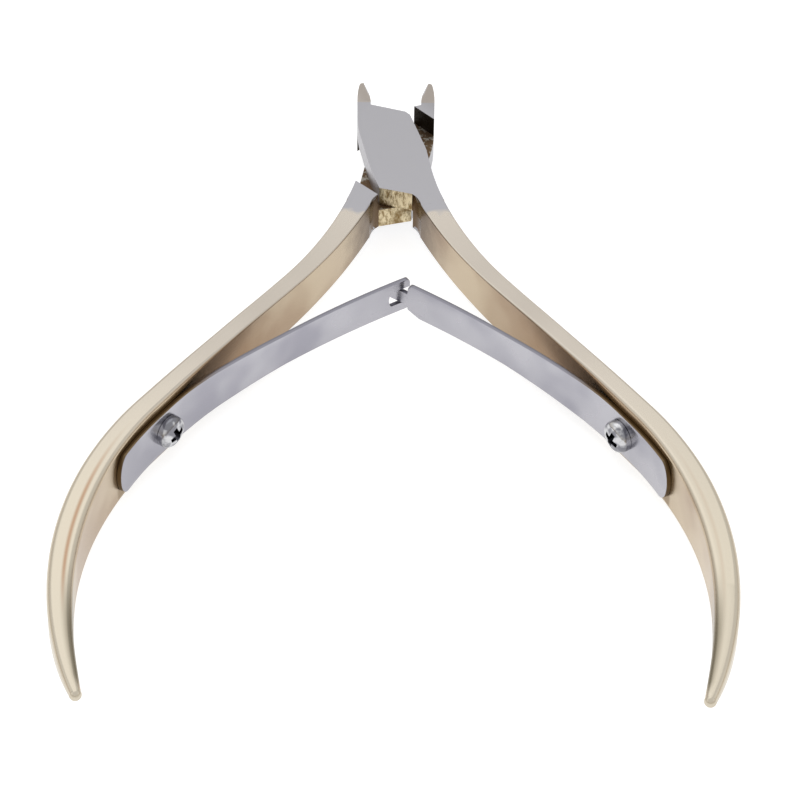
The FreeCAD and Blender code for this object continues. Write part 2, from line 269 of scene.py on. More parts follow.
# each soft change: what it follows, from, to, and its share before and after; x, y and edge are mm from
# the pivot, height is mm from the lap plane
steelStart = finish["steelFrom"] - finish["steelBlur"]
steelEnd = finish["steelFrom"] + finish["steelBlur"]
footEnd = handleAt(leafShape["footFrom"])[1] - 0.45
footRim = leafShape["footWidth"] / 2 + 0.3
platingChanges = {
    "bare": ("edge", steelStart, steelEnd, 0, 1),
    "deeper": ("cloud", 0.38, 0.62, 0, 1),
    "lowerBand": ("y", -62, -30, 1, 0),
    # painted shade on the neck beside the joint
    "neckShadeFade": ("edge", -17, -9, 0, 0.9),
    "behindJaws": ("y", -5, -2, 1, 0),
    # painted shade and reflection of the leaf on the handle's inner side
    "leafUpper": ("edge", -34, -25, 0.8, 0),
    "leafLower": ("edge", -46, -37, 0, 1),
    # painted contact shadow round the rim of each leaf foot
    "footLower": ("y", footEnd - 0.3, footEnd + 0.2, 0, 1),
    "footUpper": ("y", -40, -34, 0.9, 0),
    "footRim": ("height", footRim, footRim + 0.4, 1, 0),
    # painted reflection line along the ridge of the grips, stronger on the left handle
    "ridgeInner": ("outer", -0.5, -0.25, 0, 1),
    "ridgeOuter": ("outer", -0.25, 0, 1, 0),
    "gripUpper": ("y", -58, -46, 0.75, 0),
    "gripLower": ("y", -74, -66, 0, 1),
    "leftMost": ("x", -10, 10, 1, 0.2),
    "tipUpper": ("y", -75, -65, 0.95, 0),
    "tipLower": ("y", -82, -80, 0, 1),
    "tipInner": ("outer", -0.8, 0.1, 1, 0),
}
platingMasks = {
    "neckShade": ("neckShadeFade", "behindJaws"),
    "besideLeafShade": ("leafUpper", "leafLower"),
    "footShadow": ("footLower", "footUpper", "footRim"),
    "ridgeReflection": ("ridgeInner", "ridgeOuter", "gripUpper", "gripLower", "leftMost"),
    "tips": ("tipUpper", "tipLower", "tipInner"),
}

# node settings used in several places
smooth = {"interpolation_type": "SMOOTHSTEP"}
colours = {"data_type": "RGBA"}
multiply = {"operation": "MULTIPLY"}
add = {"operation": "ADD"}
perPoint = {"data_type": "FLOAT", "domain": "POINT"}


def newMaterial(name):
    material = bpy.data.materials.new(name)
    material.use_nodes = True
    material.node_tree.nodes.clear()
    return material, material.node_tree


def pivotCoordinates(tree):
    # object coordinates in mm from the pivot
    coord = addNode(tree, "ShaderNodeTexCoord")
    return addNode(tree, "ShaderNodeMapping", {"vector_type": "POINT"}, {
        "Vector": (coord, "Object"),
        "Location": (0, -pivotY, -lapZ),
        "Scale": (1000, 1000, 1000),
    })


def platedFinish():
    # champagne nickel plating over polished steel, ground back to satin steel at the joint faces
    material, tree = newMaterial("champagnePlatedSteel")
    place = pivotCoordinates(tree)
    split = addNode(tree, "ShaderNodeSeparateXYZ", None, {0: place})
    groundAndLit = addNode(tree, "ShaderNodeAttribute", {"attribute_name": "groundFace"})
    outer = addNode(tree, "ShaderNodeAttribute", {"attribute_name": "outerShare"})
    patch = addNode(tree, "ShaderNodeTexNoise", None, {
        "Vector": place, "Scale": 0.55, "Detail": 3.0, "Roughness": 0.55})
    shift = addNode(tree, "ShaderNodeMath", {"operation": "MULTIPLY_ADD"}, {
        0: patch, 1: finish["steelWander"], 2: -finish["steelWander"] / 2})
    cloud = addNode(tree, "ShaderNodeTexNoise", None, {
        "Vector": place, "Scale": 0.09, "Detail": 2.0, "Roughness": 0.5})
    sources = {
        "x": (split, 0),
        "y": (split, 1),
        "height": (addNode(tree, "ShaderNodeMath", {"operation": "ABSOLUTE"}, {0: (split, 2)}), 0),
        "edge": (addNode(tree, "ShaderNodeMath", add, {0: (split, 1), 1: shift}), 0),
        "cloud": (cloud, 0),
        "outer": (outer, 2),
    }
    changes = {}
    for name, (source, start, end, before, after) in platingChanges.items():
        changes[name] = addNode(tree, "ShaderNodeMapRange", smooth, {
            "Value": sources[source], "From Min": start, "From Max": end, "To Min": before, "To Max": after})
    masks = {}
    for name, parts in platingMasks.items():
        masks[name] = changes[parts[0]]
        for part in parts[1:]:
            masks[name] = addNode(tree, "ShaderNodeMath", multiply, {0: masks[name], 1: changes[part]})
    mask = addNode(tree, "ShaderNodeMath", multiply, {0: changes["bare"], 1: (groundAndLit, 2)})
    band = addNode(tree, "ShaderNodeMix", colours, {
        0: changes["lowerBand"], 6: linear(finish["plate"]), 7: linear(finish["plateLow"])})
    # the sides take a painted shade of the plating; the bands keep their own colour below
    look = addNode(tree, "ShaderNodeMix", colours, {
        0: changes["deeper"], 6: linear(finish["plateShadedSide"]), 7: linear(finish["plateDeep"])})
    for name, colour in (("neckShade", "neckShadeBrown"), ("besideLeafShade", "leafShadeBrown"), ("footShadow", "footContactShadow")):
        look = addNode(tree, "ShaderNodeMix", colours, {
            0: masks[name], 6: (look, 2), 7: linear(finish[colour])})
    look = addNode(tree, "ShaderNodeMix", colours, {0: (groundAndLit, 2), 6: (look, 2), 7: (band, 2)})
    for share, colour in ((masks["ridgeReflection"], "reflectedLine"), (masks["tips"], "tipShade"), (mask, "steel")):
        look = addNode(tree, "ShaderNodeMix", colours, {0: share, 6: (look, 2), 7: linear(finish[colour])})
    stretch = addNode(tree, "ShaderNodeMapping", None, {
        "Vector": place, "Rotation": (0, 0, 0.25),
        "Scale": (0.9, 1 / (finish["steelLine"] * finish["steelCoarser"]), 1.0)})
    lines = addNode(tree, "ShaderNodeTexNoise", None, {
        "Vector": stretch, "Scale": 1.0, "Detail": 2.0, "Roughness": 0.5})
    rough = addNode(tree, "ShaderNodeMix", {"data_type": "FLOAT"}, {
        0: mask, 2: finish["plateRough"], 3: finish["steelRough"]})
    strength = addNode(tree, "ShaderNodeMath", multiply, {0: mask, 1: finish["steelBump"]})
    bump = addNode(tree, "ShaderNodeBump", None, {
        "Height": lines, "Distance": 0.00002, "Strength": strength})
    body = addNode(tree, "ShaderNodeBsdfPrincipled", None, {
        "Base Color": (look, 2), "Metallic": 1.0, "Roughness": rough, "Normal": bump})
    addNode(tree, "ShaderNodeOutputMaterial", None, {"Surface": body})
    return material


def giltFinish():
    # filed end faces under the plating: light gold with fine scratches, and random brown patches of painted
    # shade
    material, tree = newMaterial("filedGiltSteel")
    place = pivotCoordinates(tree)
    stretch = addNode(tree, "ShaderNodeMapping", None, {
        "Vector": place, "Rotation": (0, 0.9, 0), "Scale": (1.0, 1.0, 0.4)})
    scratches = addNode(tree, "ShaderNodeTexNoise", None, {
        "Vector": stretch, "Scale": 0.4 / finish["giltGrain"], "Detail": 4.0, "Roughness": 0.7})
    shadePatches = addNode(tree, "ShaderNodeTexNoise", None, {
        "Vector": place, "Scale": 0.45, "Detail": 3.0, "Roughness": 0.6})
    shares = []
    for source, start, end in ((scratches, 0.34, 0.58), (shadePatches, 0.36, 0.52)):
        shares.append(addNode(tree, "ShaderNodeMapRange", smooth, {
            "Value": source, "From Min": start, "From Max": end, "To Min": 0.1}))
    shade = addNode(tree, "ShaderNodeMath", multiply, {0: shares[0], 1: shares[1]})
    colour = addNode(tree, "ShaderNodeMix", colours, {
        0: shade, 6: linear(finish["giltGrainAndShade"]), 7: linear(finish["gilt"])})
    bump = addNode(tree, "ShaderNodeBump", None, {
        "Height": scratches, "Distance": 0.00015, "Strength": 1.0})
    body = addNode(tree, "ShaderNodeBsdfPrincipled", None, {
        "Base Color": (colour, 2), "Metallic": 1.0, "Roughness": finish["giltRough"], "Normal": bump})
    addNode(tree, "ShaderNodeOutputMaterial", None, {"Surface": body})
    return material


def recessFinish():
    # lap recesses: nearly black brown walls and brown floors, painted shade, with real bare grey patches on
    # the floors
    material, tree = newMaterial("shadedLapRecess")
    place = pivotCoordinates(tree)
    groundAndLit = addNode(tree, "ShaderNodeAttribute", {"attribute_name": "groundFace"})
    blotches = addNode(tree, "ShaderNodeTexNoise", None, {
        "Vector": place, "Scale": 1.1, "Detail": 4.0, "Roughness": 0.65})
    patch = addNode(tree, "ShaderNodeMapRange", smooth, {"Value": blotches, "From Min": 0.5, "From Max": 0.6})
    floor = addNode(tree, "ShaderNodeMix", colours, {
        0: patch, 6: linear(finish["recessFloorShade"]), 7: linear(finish["recessGrey"])})
    colour = addNode(tree, "ShaderNodeMix", colours, {
        0: (groundAndLit, 2), 6: linear(finish["recess"]), 7: (floor, 2)})
    grain = addNode(tree, "ShaderNodeTexNoise", None, {
        "Vector": place, "Scale": 5.0, "Detail": 3.0, "Roughness": 0.5})
    bump = addNode(tree, "ShaderNodeBump", None, {"Height": grain, "Distance": 0.0001, "Strength": 0.5})
    body = addNode(tree, "ShaderNodeBsdfPrincipled", None, {
        "Base Color": (colour, 2), "Metallic": 1.0, "Roughness": finish["recessRough"], "Normal": bump})
    addNode(tree, "ShaderNodeOutputMaterial", None, {"Surface": body})
    return material


def leafFinish():
    # rolled and polished spring steel, slightly blue, bright enough to mirror the screw beside it
    material, tree = newMaterial("polishedSpringSteel")
    place = pivotCoordinates(tree)
    streaks = addNode(tree, "ShaderNodeTexNoise", None, {
        "Vector": place, "Scale": 0.11, "Detail": 2.0, "Roughness": 0.5})
    cloud = addNode(tree, "ShaderNodeMapRange", smooth, {
        "Value": streaks, "From Min": 0.36, "From Max": 0.62})
    colour = addNode(tree, "ShaderNodeMix", colours, {
        0: cloud, 6: linear(finish["leaf"]), 7: linear(finish["leafDark"])})
    rough = addNode(tree, "ShaderNodeMapRange", None, {"Value": cloud, "To Min": 0.28, "To Max": 0.18})
    body = addNode(tree, "ShaderNodeBsdfPrincipled", None, {
        "Base Color": (colour, 2), "Metallic": 1.0, "Roughness": rough})
    addNode(tree, "ShaderNodeOutputMaterial", None, {"Surface": body})
    return material


def leafEdgeFinish():
    # sheared edges of the leaf: dark grey, with painted contact shadow in brown where they sit against the
    # handle
    material, tree = newMaterial("shearedLeafEdge")
    split = addNode(tree, "ShaderNodeSeparateXYZ", None, {0: pivotCoordinates(tree)})
    # painted contact shadow, brown toward the feet
    foot = addNode(tree, "ShaderNodeMapRange", smooth, {
        "Value": (split, 1), "From Min": -41.0, "From Max": -36.0, "To Min": 1.0, "To Max": 0.0})
    colour = addNode(tree, "ShaderNodeMix", colours, {
        0: foot, 6: linear(finish["leafEdge"]), 7: linear(finish["leafEdgeShadow"])})
    body = addNode(tree, "ShaderNodeBsdfPrincipled", None, {
        "Base Color": (colour, 2), "Metallic": 1.0, "Roughness": finish["edgeRough"]})
    addNode(tree, "ShaderNodeOutputMaterial", None, {"Surface": body})
    return material


def screwFinish():
    # turned bright steel with painted dark reflections in random patches, dull and dark down in the cross
    material, tree = newMaterial("brightTurnedSteel")
    place = pivotCoordinates(tree)
    pit = addNode(tree, "ShaderNodeAttribute", {"attribute_name": "pit"})
    reflectionPatches = addNode(tree, "ShaderNodeTexNoise", None, {
        "Vector": place, "Scale": 0.9, "Detail": 2.0, "Roughness": 0.5})
    cloud = addNode(tree, "ShaderNodeMapRange", smooth, {"Value": reflectionPatches, "From Min": 0.4, "From Max": 0.58})
    bright = addNode(tree, "ShaderNodeMix", colours, {
        0: cloud, 6: linear(finish["screw"]), 7: linear(finish["screwDarkReflection"])})
    colour = addNode(tree, "ShaderNodeMix", colours, {
        0: (pit, 2), 6: (bright, 2), 7: linear(finish["screwPit"])})
    body = addNode(tree, "ShaderNodeBsdfPrincipled", None, {
        "Base Color": (colour, 2), "Metallic": 1.0, "Roughness": finish["screwRough"]})
    addNode(tree, "ShaderNodeOutputMaterial", None, {"Surface": body})
    return material


plated = platedFinish()
gilt = giltFinish()
recess = recessFinish()
leafEdge = leafEdgeFinish()
leafSteel = leafFinish()
screwSteel = screwFinish()
print("finishes made")


def floatCurve(tree, factor, column):
    # a station value along the handle, as a smooth curve of the factor
    rows = handleShape["stations"]
    total = rows[-1][0]
    top = max(row[column] for row in rows)
    node = addNode(tree, "ShaderNodeFloatCurve", None, {"Value": factor})
    curve = node.mapping.curves[0]
    while len(curve.points) < len(rows):
        curve.points.new(0.5, 0.5)
    for point, row in zip(curve.points, rows):
        point.location = (row[0] / total, row[column] / top)
        point.handle_type = "AUTO"
    node.mapping.update()
    return addNode(tree, "ShaderNodeMath", multiply, {0: node, 1: top * mm})


def handleTree():
    tree = newTree("taperedHandle", [
        ("Steps along", "NodeSocketInt", 100),
        ("Steps around", "NodeSocketInt", 32),
        ("Ball radius", "NodeSocketFloat", 0.001),
        ("Outer side", "NodeSocketFloat", 1.0),
        ("Finish", "NodeSocketMaterial", None),
    ])
    enter = addNode(tree, "NodeGroupInput")
    path = addNode(tree, "GeometryNodeMeshToCurve", None, {"Mesh": (enter, "Geometry")})
    grid = addNode(tree, "GeometryNodeMeshGrid", None, {
        "Size X": 1.0, "Size Y": 1.0,
        "Vertices X": (enter, "Steps along"), "Vertices Y": (enter, "Steps around")})
    split = addNode(tree, "ShaderNodeSeparateXYZ", None, {0: addNode(tree, "GeometryNodeInputPosition")})
    along = addNode(tree, "ShaderNodeMath", add, {0: split, 1: 0.5})
    halfStep = math.pi / (handleShape["stepsAround"] - 1)
    angle = addNode(tree, "ShaderNodeMath", {"operation": "MULTIPLY_ADD"}, {
        0: (split, 1), 1: 2 * math.pi, 2: math.pi + halfStep})
    sample = addNode(tree, "GeometryNodeSampleCurve", {"mode": "FACTOR"}, {"Curves": path, "Factor": along})
    side = addNode(tree, "ShaderNodeVectorMath", {"operation": "CROSS_PRODUCT"}, {
        0: (sample, "Tangent"), 1: (0, 0, 1)})
    unit = addNode(tree, "ShaderNodeVectorMath", {"operation": "NORMALIZE"}, {0: side})
    thick, high, corner = (floatCurve(tree, along, column) for column in (1, 2, 3))
    # the section is a rectangle with round corners: the wave times the radius, plus the flat part
    waves = []
    reach = []
    for operation, half in (("COSINE", thick), ("SINE", high)):
        wave = addNode(tree, "ShaderNodeMath", {"operation": operation}, {0: angle})
        sign = addNode(tree, "ShaderNodeMath", {"operation": "SIGN"}, {0: wave})
        straight = addNode(tree, "ShaderNodeMath", {"operation": "SUBTRACT"}, {0: half, 1: corner})
        flat = addNode(tree, "ShaderNodeMath", multiply, {0: sign, 1: straight})
        waves.append(wave)
        reach.append(addNode(tree, "ShaderNodeMath", {"operation": "MULTIPLY_ADD"}, {
            0: wave, 1: corner, 2: flat}))
    across = addNode(tree, "ShaderNodeVectorMath", {"operation": "SCALE"}, {0: unit, "Scale": reach[0]})
    upward = addNode(tree, "ShaderNodeCombineXYZ", None, {2: reach[1]})
    first = addNode(tree, "ShaderNodeVectorMath", add, {0: (sample, "Position"), 1: across})
    place = addNode(tree, "ShaderNodeVectorMath", add, {0: first, 1: upward})
    # outerShare runs from -1 on the inner side to 1 on the outer one
    fraction = addNode(tree, "ShaderNodeMath", {"operation": "DIVIDE"}, {0: reach[0], 1: thick})
    outerShare = addNode(tree, "ShaderNodeMath", multiply, {0: fraction, 1: (enter, "Outer side")})
    # this mask is 1 on the bands and the outer side, 0 on the inner side, which takes the plating's painted
    # shade
    top = addNode(tree, "ShaderNodeMath", {"operation": "ABSOLUTE"}, {0: waves[1]})
    upper = addNode(tree, "ShaderNodeMapRange", None, {"Value": top, "From Min": 0.3, "From Max": 0.8})
    outer = addNode(tree, "ShaderNodeMath", multiply, {0: waves[0], 1: (enter, "Outer side")})
    groundFace = addNode(tree, "ShaderNodeMath", {"operation": "MAXIMUM"}, {0: upper, 1: outer})
    marked = grid
    for label, value in (("groundFace", groundFace), ("outerShare", outerShare)):
        marked = addNode(tree, "GeometryNodeStoreNamedAttribute", perPoint, {
            "Geometry": marked, "Name": label, "Value": value})
    wrapped = addNode(tree, "GeometryNodeSetPosition", None, {"Geometry": marked, "Position": place})
    closed = addNode(tree, "GeometryNodeMergeByDistance", None, {"Geometry": wrapped, "Distance": weld})
    ball = addNode(tree, "GeometryNodeMeshUVSphere", None, {
        "Segments": 32, "Rings": 20, "Radius": (enter, "Ball radius")})
    ballMarked = addNode(tree, "GeometryNodeStoreNamedAttribute", perPoint, {
        "Geometry": ball, "Name": "groundFace", "Value": 1.0})
    tip = addNode(tree, "GeometryNodeSampleCurve", {"mode": "FACTOR"}, {"Curves": path, "Factor": 1.0})
    ballPlaced = addNode(tree, "GeometryNodeTransform", None, {
        "Geometry": ballMarked, "Translation": (tip, "Position")})
    both = addNode(tree, "GeometryNodeJoinGeometry")
    for piece in (closed, ballPlaced):
        tree.links.new(piece.outputs[0], both.inputs[0])
    shaded = addNode(tree, "GeometryNodeSetShadeSmooth", None, {"Geometry": both})
    real = addNode(tree, "GeometryNodeRealizeInstances", None, {"Geometry": shaded})
    painted = addNode(tree, "GeometryNodeSetMaterial", None, {
        "Geometry": real, "Material": (enter, "Finish")})
    addNode(tree, "NodeGroupOutput", None, {"Geometry": painted})
    return tree


def evenNormals(obj):
    # normals weighted by face area, so that the flat faces shade flat
    weigh = obj.modifiers.new("even", "WEIGHTED_NORMAL")
    weigh.weight = 100
    return weigh


def tidyNormals(mesh):
    bm = bmesh.new()
    bm.from_mesh(mesh)
    bmesh.ops.recalc_face_normals(bm, faces=bm.faces)
    bm.to_mesh(mesh)
    bm.free()


def makeHandle(tree, name, side):
    total = handleShape["stations"][-1][0]
    steps = handleShape["pathSteps"]
    points = []
    for i in range(steps + 1):
        x, y, heading = handleAt(total * i / steps)
        points.append(toRow(side * x, y))
    obj = lineObject(name, points)
    applyTree(obj, tree, {
        "Steps along": handleShape["stepsAlong"],
        "Steps around": handleShape["stepsAround"],
        "Ball radius": handleShape["endBallRadius"] * mm,
        "Outer side": -float(side),
        "Finish": plated,
    })
    tidyNormals(obj.data)
    evenNormals(obj)
    return bakeModifiers(obj)


sweep = handleTree()
rightHandle = makeHandle(sweep, "rightHandle", 1)
leftHandle = makeHandle(sweep, "leftHandle", -1)
print("handles made")


jointShape = {
    "edgeRound": 0.16,       # mm, rounding left by grinding
    "holeClear": 2.4,        # no rounding nearer the pivot than this
    "sharpAngle": 22.0,      # edges sharper than this are rounded
    "smoothAngle": 40.0,     # and edges sharper than this stay sharp in the shading
    "flatAngle": 0.6,
    "floorWithin": 0.3,      # mm from the lap plane, the floors of the recesses
    "wallWithin": 8.3,       # mm either side of the pivot, the walls of the recesses
    "wallBelow": 0.15,
    "endFrom": -6.0,         # gilt end faces lie below this
    "jawFrom": 9.4,          # jaw tops lie above this
    "groundFrom": 2.2,       # mm from the lap plane, the ground faces
    "slopeFrom": 1.1,        # or this, where a face looks up or down
}


def makeJoint(node, name, side):
    # the CAD half cut off at its neck, with its sharp edges eased
    shape = jointShape
    bm = bmesh.new()
    bm.from_mesh(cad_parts[node].data)
    bmesh.ops.remove_doubles(bm, verts=bm.verts, dist=weld)
    x, y, heading = handleAt(0)
    a = math.radians(heading)
    down = Vector((side * math.sin(a), -math.cos(a), 0))
    bmesh.ops.bisect_plane(bm, geom=bm.verts[:] + bm.edges[:] + bm.faces[:], plane_co=toRow(side * x, y),
                           plane_no=down, clear_outer=True, dist=0.000001)
    bmesh.ops.dissolve_limit(bm, angle_limit=math.radians(shape["flatAngle"]), verts=bm.verts,
                             edges=bm.edges)
    rounded = []
    for edge in bm.edges:
        if len(edge.link_faces) != 2 or edge.calc_face_angle(0) < math.radians(shape["sharpAngle"]):
            continue
        middle = (edge.verts[0].co + edge.verts[1].co) / 2
        if math.hypot(middle.x / mm, middle.y / mm - pivotY) >= shape["holeClear"]:
            rounded.append(edge)
    bmesh.ops.bevel(bm, geom=rounded, offset=shape["edgeRound"] * mm, offset_type="OFFSET", segments=3,
                    profile=0.5, affect="EDGES", clamp_overlap=True)
    for face in bm.faces:
        face.smooth = True
    for edge in bm.edges:
        edge.smooth = edge.calc_face_angle(0) < math.radians(shape["smoothAngle"])
    mesh = bpy.data.meshes.new(name)
    bm.to_mesh(mesh)
    bm.free()
    obj = newObject(name, mesh)
    for material in (plated, gilt, recess):     # index 0, 1 and 2 below
        mesh.materials.append(material)
    share = mesh.attributes.new("groundFace", "FLOAT", "FACE")
    for face in mesh.polygons:
        normal = face.normal
        x, y, z = (c / mm for c in face.center - toRow(0, 0))
        level = abs(normal.z)
        upright = level < 0.3
        towardPivot = -(normal.x * x + normal.y * y) / max(0.01, math.hypot(x, y))
        floor = level > 0.8 and abs(z) < shape["floorWithin"]
        inRecess = abs(y) < shape["wallWithin"] and side * z < -shape["wallBelow"]
        wall = upright and towardPivot > 0.5 and inRecess
        endFace = upright and normal.y < -0.9 and y < shape["endFrom"]
        jawTop = y > shape["jawFrom"] and level > 0.4
        sloping = level > 0.5 and abs(z) > shape["slopeFrom"]
        outward = abs(z) > shape["groundFrom"] or sloping or side * normal.x > 0.3 and not wall
        if floor or wall:
            face.material_index = 2
        elif endFace:
            face.material_index = 1
        bright = floor or not wall and (outward or y > shape["endFrom"])
        # jaw tops get half the band colour, a painted highlight; faces that are not bright take the plating's
        # painted shade
        share.data[face.index].value = 0.5 if jawTop else float(bright)
    evenNormals(obj).keep_sharp = True
    return bakeModifiers(obj)


rightJoint = makeJoint("front_half", "leftJawPlate", 1)
leftJoint = makeJoint("back_half", "rightJawPlate", -1)
for obj, body, node in ((rightJoint, "front", "front_half"), (leftJoint, "back", "back_half")):
    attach(obj, body)
    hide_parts(node)
for obj, body in ((rightHandle, "front"), (leftHandle, "back")):
    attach(obj, body)
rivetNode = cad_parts["pivot_rivet"]
rivetNode.data.materials.clear()
rivetNode.data.materials.append(plated)
ringShare = rivetNode.data.attributes.new("groundFace", "FLOAT", "POINT")
ringShare.data.foreach_set("value", [1.0] * len(rivetNode.data.vertices))
print("joint made")


def leafPath(crossX, reach):
    # centre line on the +X side in mm: clamped foot, lift, bowed arm, straight end
    shape = leafShape
    off = shape["thickness"] / 2 + shape["clearOfHandle"]
    points = []
    s = shape["footFrom"]
    while s > shape["liftAt"]:
        x, y, heading = handleAt(s)
        points.append(inward(x, y, heading, halfThickness(s) + off))
        s -= shape["footStep"]
    x, y, heading = handleAt(shape["liftAt"])
    start = inward(x, y, heading, halfThickness(shape["liftAt"]) + off)
    for i in range(shape["liftSteps"] + 1):
        k = i / shape["liftSteps"]
        chord = shape["liftLength"] * k
        a = math.radians(heading + shape["liftTurn"] * k / 2)
        points.append((start[0] - chord * math.sin(a), start[1] + chord * math.cos(a)))
    hinge = points[-1]
    run = Vector((crossX - hinge[0], shape["crossY"] - hinge[1]))
    length = run.length
    u = run / length
    normal = Vector((u.y, -u.x)) if u.x < 0 else Vector((-u.y, u.x))
    radius = (length * length / 4 + shape["armBow"] ** 2) / (2 * shape["armBow"])
    middle = (Vector(hinge) + Vector((crossX, shape["crossY"]))) / 2 + normal * (shape["armBow"] - radius)
    half = math.asin(length / 2 / radius)
    for i in range(1, shape["armSteps"] + 1):
        a = (2 * i / shape["armSteps"] - 1) * half
        point = middle + radius * (normal * math.cos(a) + u * math.sin(a))
        points.append((point.x, point.y))
    tangent = u * math.cos(half) - normal * math.sin(half)
    for i in range(1, shape["endSteps"] + 1):
        k = reach * i / shape["endSteps"]
        points.append((crossX + tangent.x * k, shape["crossY"] + tangent.y * k))
    return points, hinge


def leafTree():
    tree = newTree("leafAlongPath", [
        ("Path", "NodeSocketObject", None),
        ("Thickness", "NodeSocketFloat", 0.0005),
        ("Finish", "NodeSocketMaterial", None),
    ])
    enter = addNode(tree, "NodeGroupInput")
    info = addNode(tree, "GeometryNodeObjectInfo", {"transform_space": "ORIGINAL"}, {
        "Object": (enter, "Path")})
    path = addNode(tree, "GeometryNodeMeshToCurve", None, {"Mesh": (info, "Geometry")})
    split = addNode(tree, "ShaderNodeSeparateXYZ", None, {0: addNode(tree, "GeometryNodeInputPosition")})
    sample = addNode(tree, "GeometryNodeSampleCurve", {"mode": "LENGTH"}, {"Curves": path, "Length": split})
    side = addNode(tree, "ShaderNodeVectorMath", {"operation": "CROSS_PRODUCT"}, {
        0: (sample, "Tangent"), 1: (0, 0, 1)})
    unit = addNode(tree, "ShaderNodeVectorMath", {"operation": "NORMALIZE"}, {0: side})
    half = addNode(tree, "ShaderNodeMath", multiply, {0: (enter, "Thickness"), 1: -0.5})
    shift = addNode(tree, "ShaderNodeVectorMath", {"operation": "SCALE"}, {0: unit, "Scale": half})
    height = addNode(tree, "ShaderNodeCombineXYZ", None, {2: (split, 1)})
    first = addNode(tree, "ShaderNodeVectorMath", add, {0: (sample, "Position"), 1: height})
    place = addNode(tree, "ShaderNodeVectorMath", add, {0: first, 1: shift})
    across = addNode(tree, "ShaderNodeVectorMath", {"operation": "SCALE"}, {
        0: unit, "Scale": (enter, "Thickness")})
    # the direction across the strip is kept from before the bend, since its field reads the flat mesh
    field = addNode(tree, "GeometryNodeCaptureAttribute", None, {"Geometry": (enter, "Geometry")})
    field.capture_items.new("VECTOR", "across")
    tree.links.new(across.outputs[0], field.inputs[1])
    bent = addNode(tree, "GeometryNodeSetPosition", None, {"Geometry": field, "Position": place})
    thickened = addNode(tree, "GeometryNodeExtrudeMesh", {"mode": "FACES"}, {
        "Mesh": bent, "Offset": (field, 1), "Offset Scale": 1.0, "Individual": False})
    backs = addNode(tree, "GeometryNodeFlipFaces", None, {"Mesh": bent})
    both = addNode(tree, "GeometryNodeJoinGeometry")
    for piece in (thickened, backs):
        tree.links.new(piece.outputs[0], both.inputs[0])
    closed = addNode(tree, "GeometryNodeMergeByDistance", None, {"Geometry": both, "Distance": weld})
    real = addNode(tree, "GeometryNodeRealizeInstances", None, {"Geometry": closed})
    painted = addNode(tree, "GeometryNodeSetMaterial", None, {
        "Geometry": real, "Material": (enter, "Finish")})
    addNode(tree, "NodeGroupOutput", None, {"Geometry": painted})
    return tree


def easeEdges(obj, width, angle):
    # a small bevel, in mm, on the edges sharper than the angle
    bevel = obj.modifiers.new("edge", "BEVEL")
    bevel.width = width * mm
    bevel.segments = 2
    bevel.limit_method = "ANGLE"
    bevel.angle_limit = math.radians(angle)


def quarterRound(radius, distance):
    # how far a quarter circle has fallen away, at this distance before its end
    return radius - math.sqrt(max(0.0, radius * radius - (radius - distance) ** 2))


def leafOutline(points, reach, forked):
    # columns along the leaf, each with its upper and lower edge and half the slot's height, mm
    shape = leafShape
    lengths = [0.0]
    for p, q in zip(points, points[1:]):
        lengths.append(lengths[-1] + math.dist(p, q))
    total = lengths[-1]
    columns = [0.0]
    while columns[-1] < total - 0.05:
        s = columns[-1]
        step = 0.1 if s < shape["endRound"] + 0.2 or s > total - 4.5 else 0.45
        if s < 0.3:
            step = 0.04
        columns.append(min(total, s + step))
    rows = []
    for s in columns:
        i = max(k for k in range(len(lengths)) if lengths[k] <= s + 1e-9)
        k = (points[i][0] - shape["taperTo"]) / (shape["taperFrom"] - shape["taperTo"])
        k = min(1, max(0, k))
        w = (shape["armWidth"] + k * (shape["footWidth"] - shape["armWidth"])) / 2
        if s < shape["endRound"]:
            w *= math.sqrt(max(0.0, 1 - (1 - s / shape["endRound"]) ** 2)) * 0.999 + 0.001
        cutAway = 0.0
        slot = 0.0
        ahead = total - s
        if forked:
            back = (s - (total - reach - shape["slotBack"])) / shape["slotRound"]
            if back > 0:
                slot = shape["slotHeight"] / 2 * math.sqrt(min(1, back * (2 - min(1, back))))
            if ahead < shape["forkRound"]:
                w -= quarterRound(shape["forkRound"], ahead)
        else:
            narrow = s - (total - reach - shape["tongueBack"])
            if narrow > 0:
                w = shape["tongueHeight"] / 2
            else:
                cutAway = shape["cornerCutDeep"] * max(0.0, 1 + narrow / shape["cornerCutLong"])
            if -shape["shoulderRound"] < narrow <= 0:
                fall = quarterRound(shape["shoulderRound"], -narrow)
                cutAway -= fall
                w -= fall
            r = shape["tongueHeight"] / 2
            if ahead < r:
                w = r * math.sqrt(max(0.0004, 1 - (1 - ahead / r) ** 2))
        rows.append((s, w, w - cutAway, slot))
    return rows


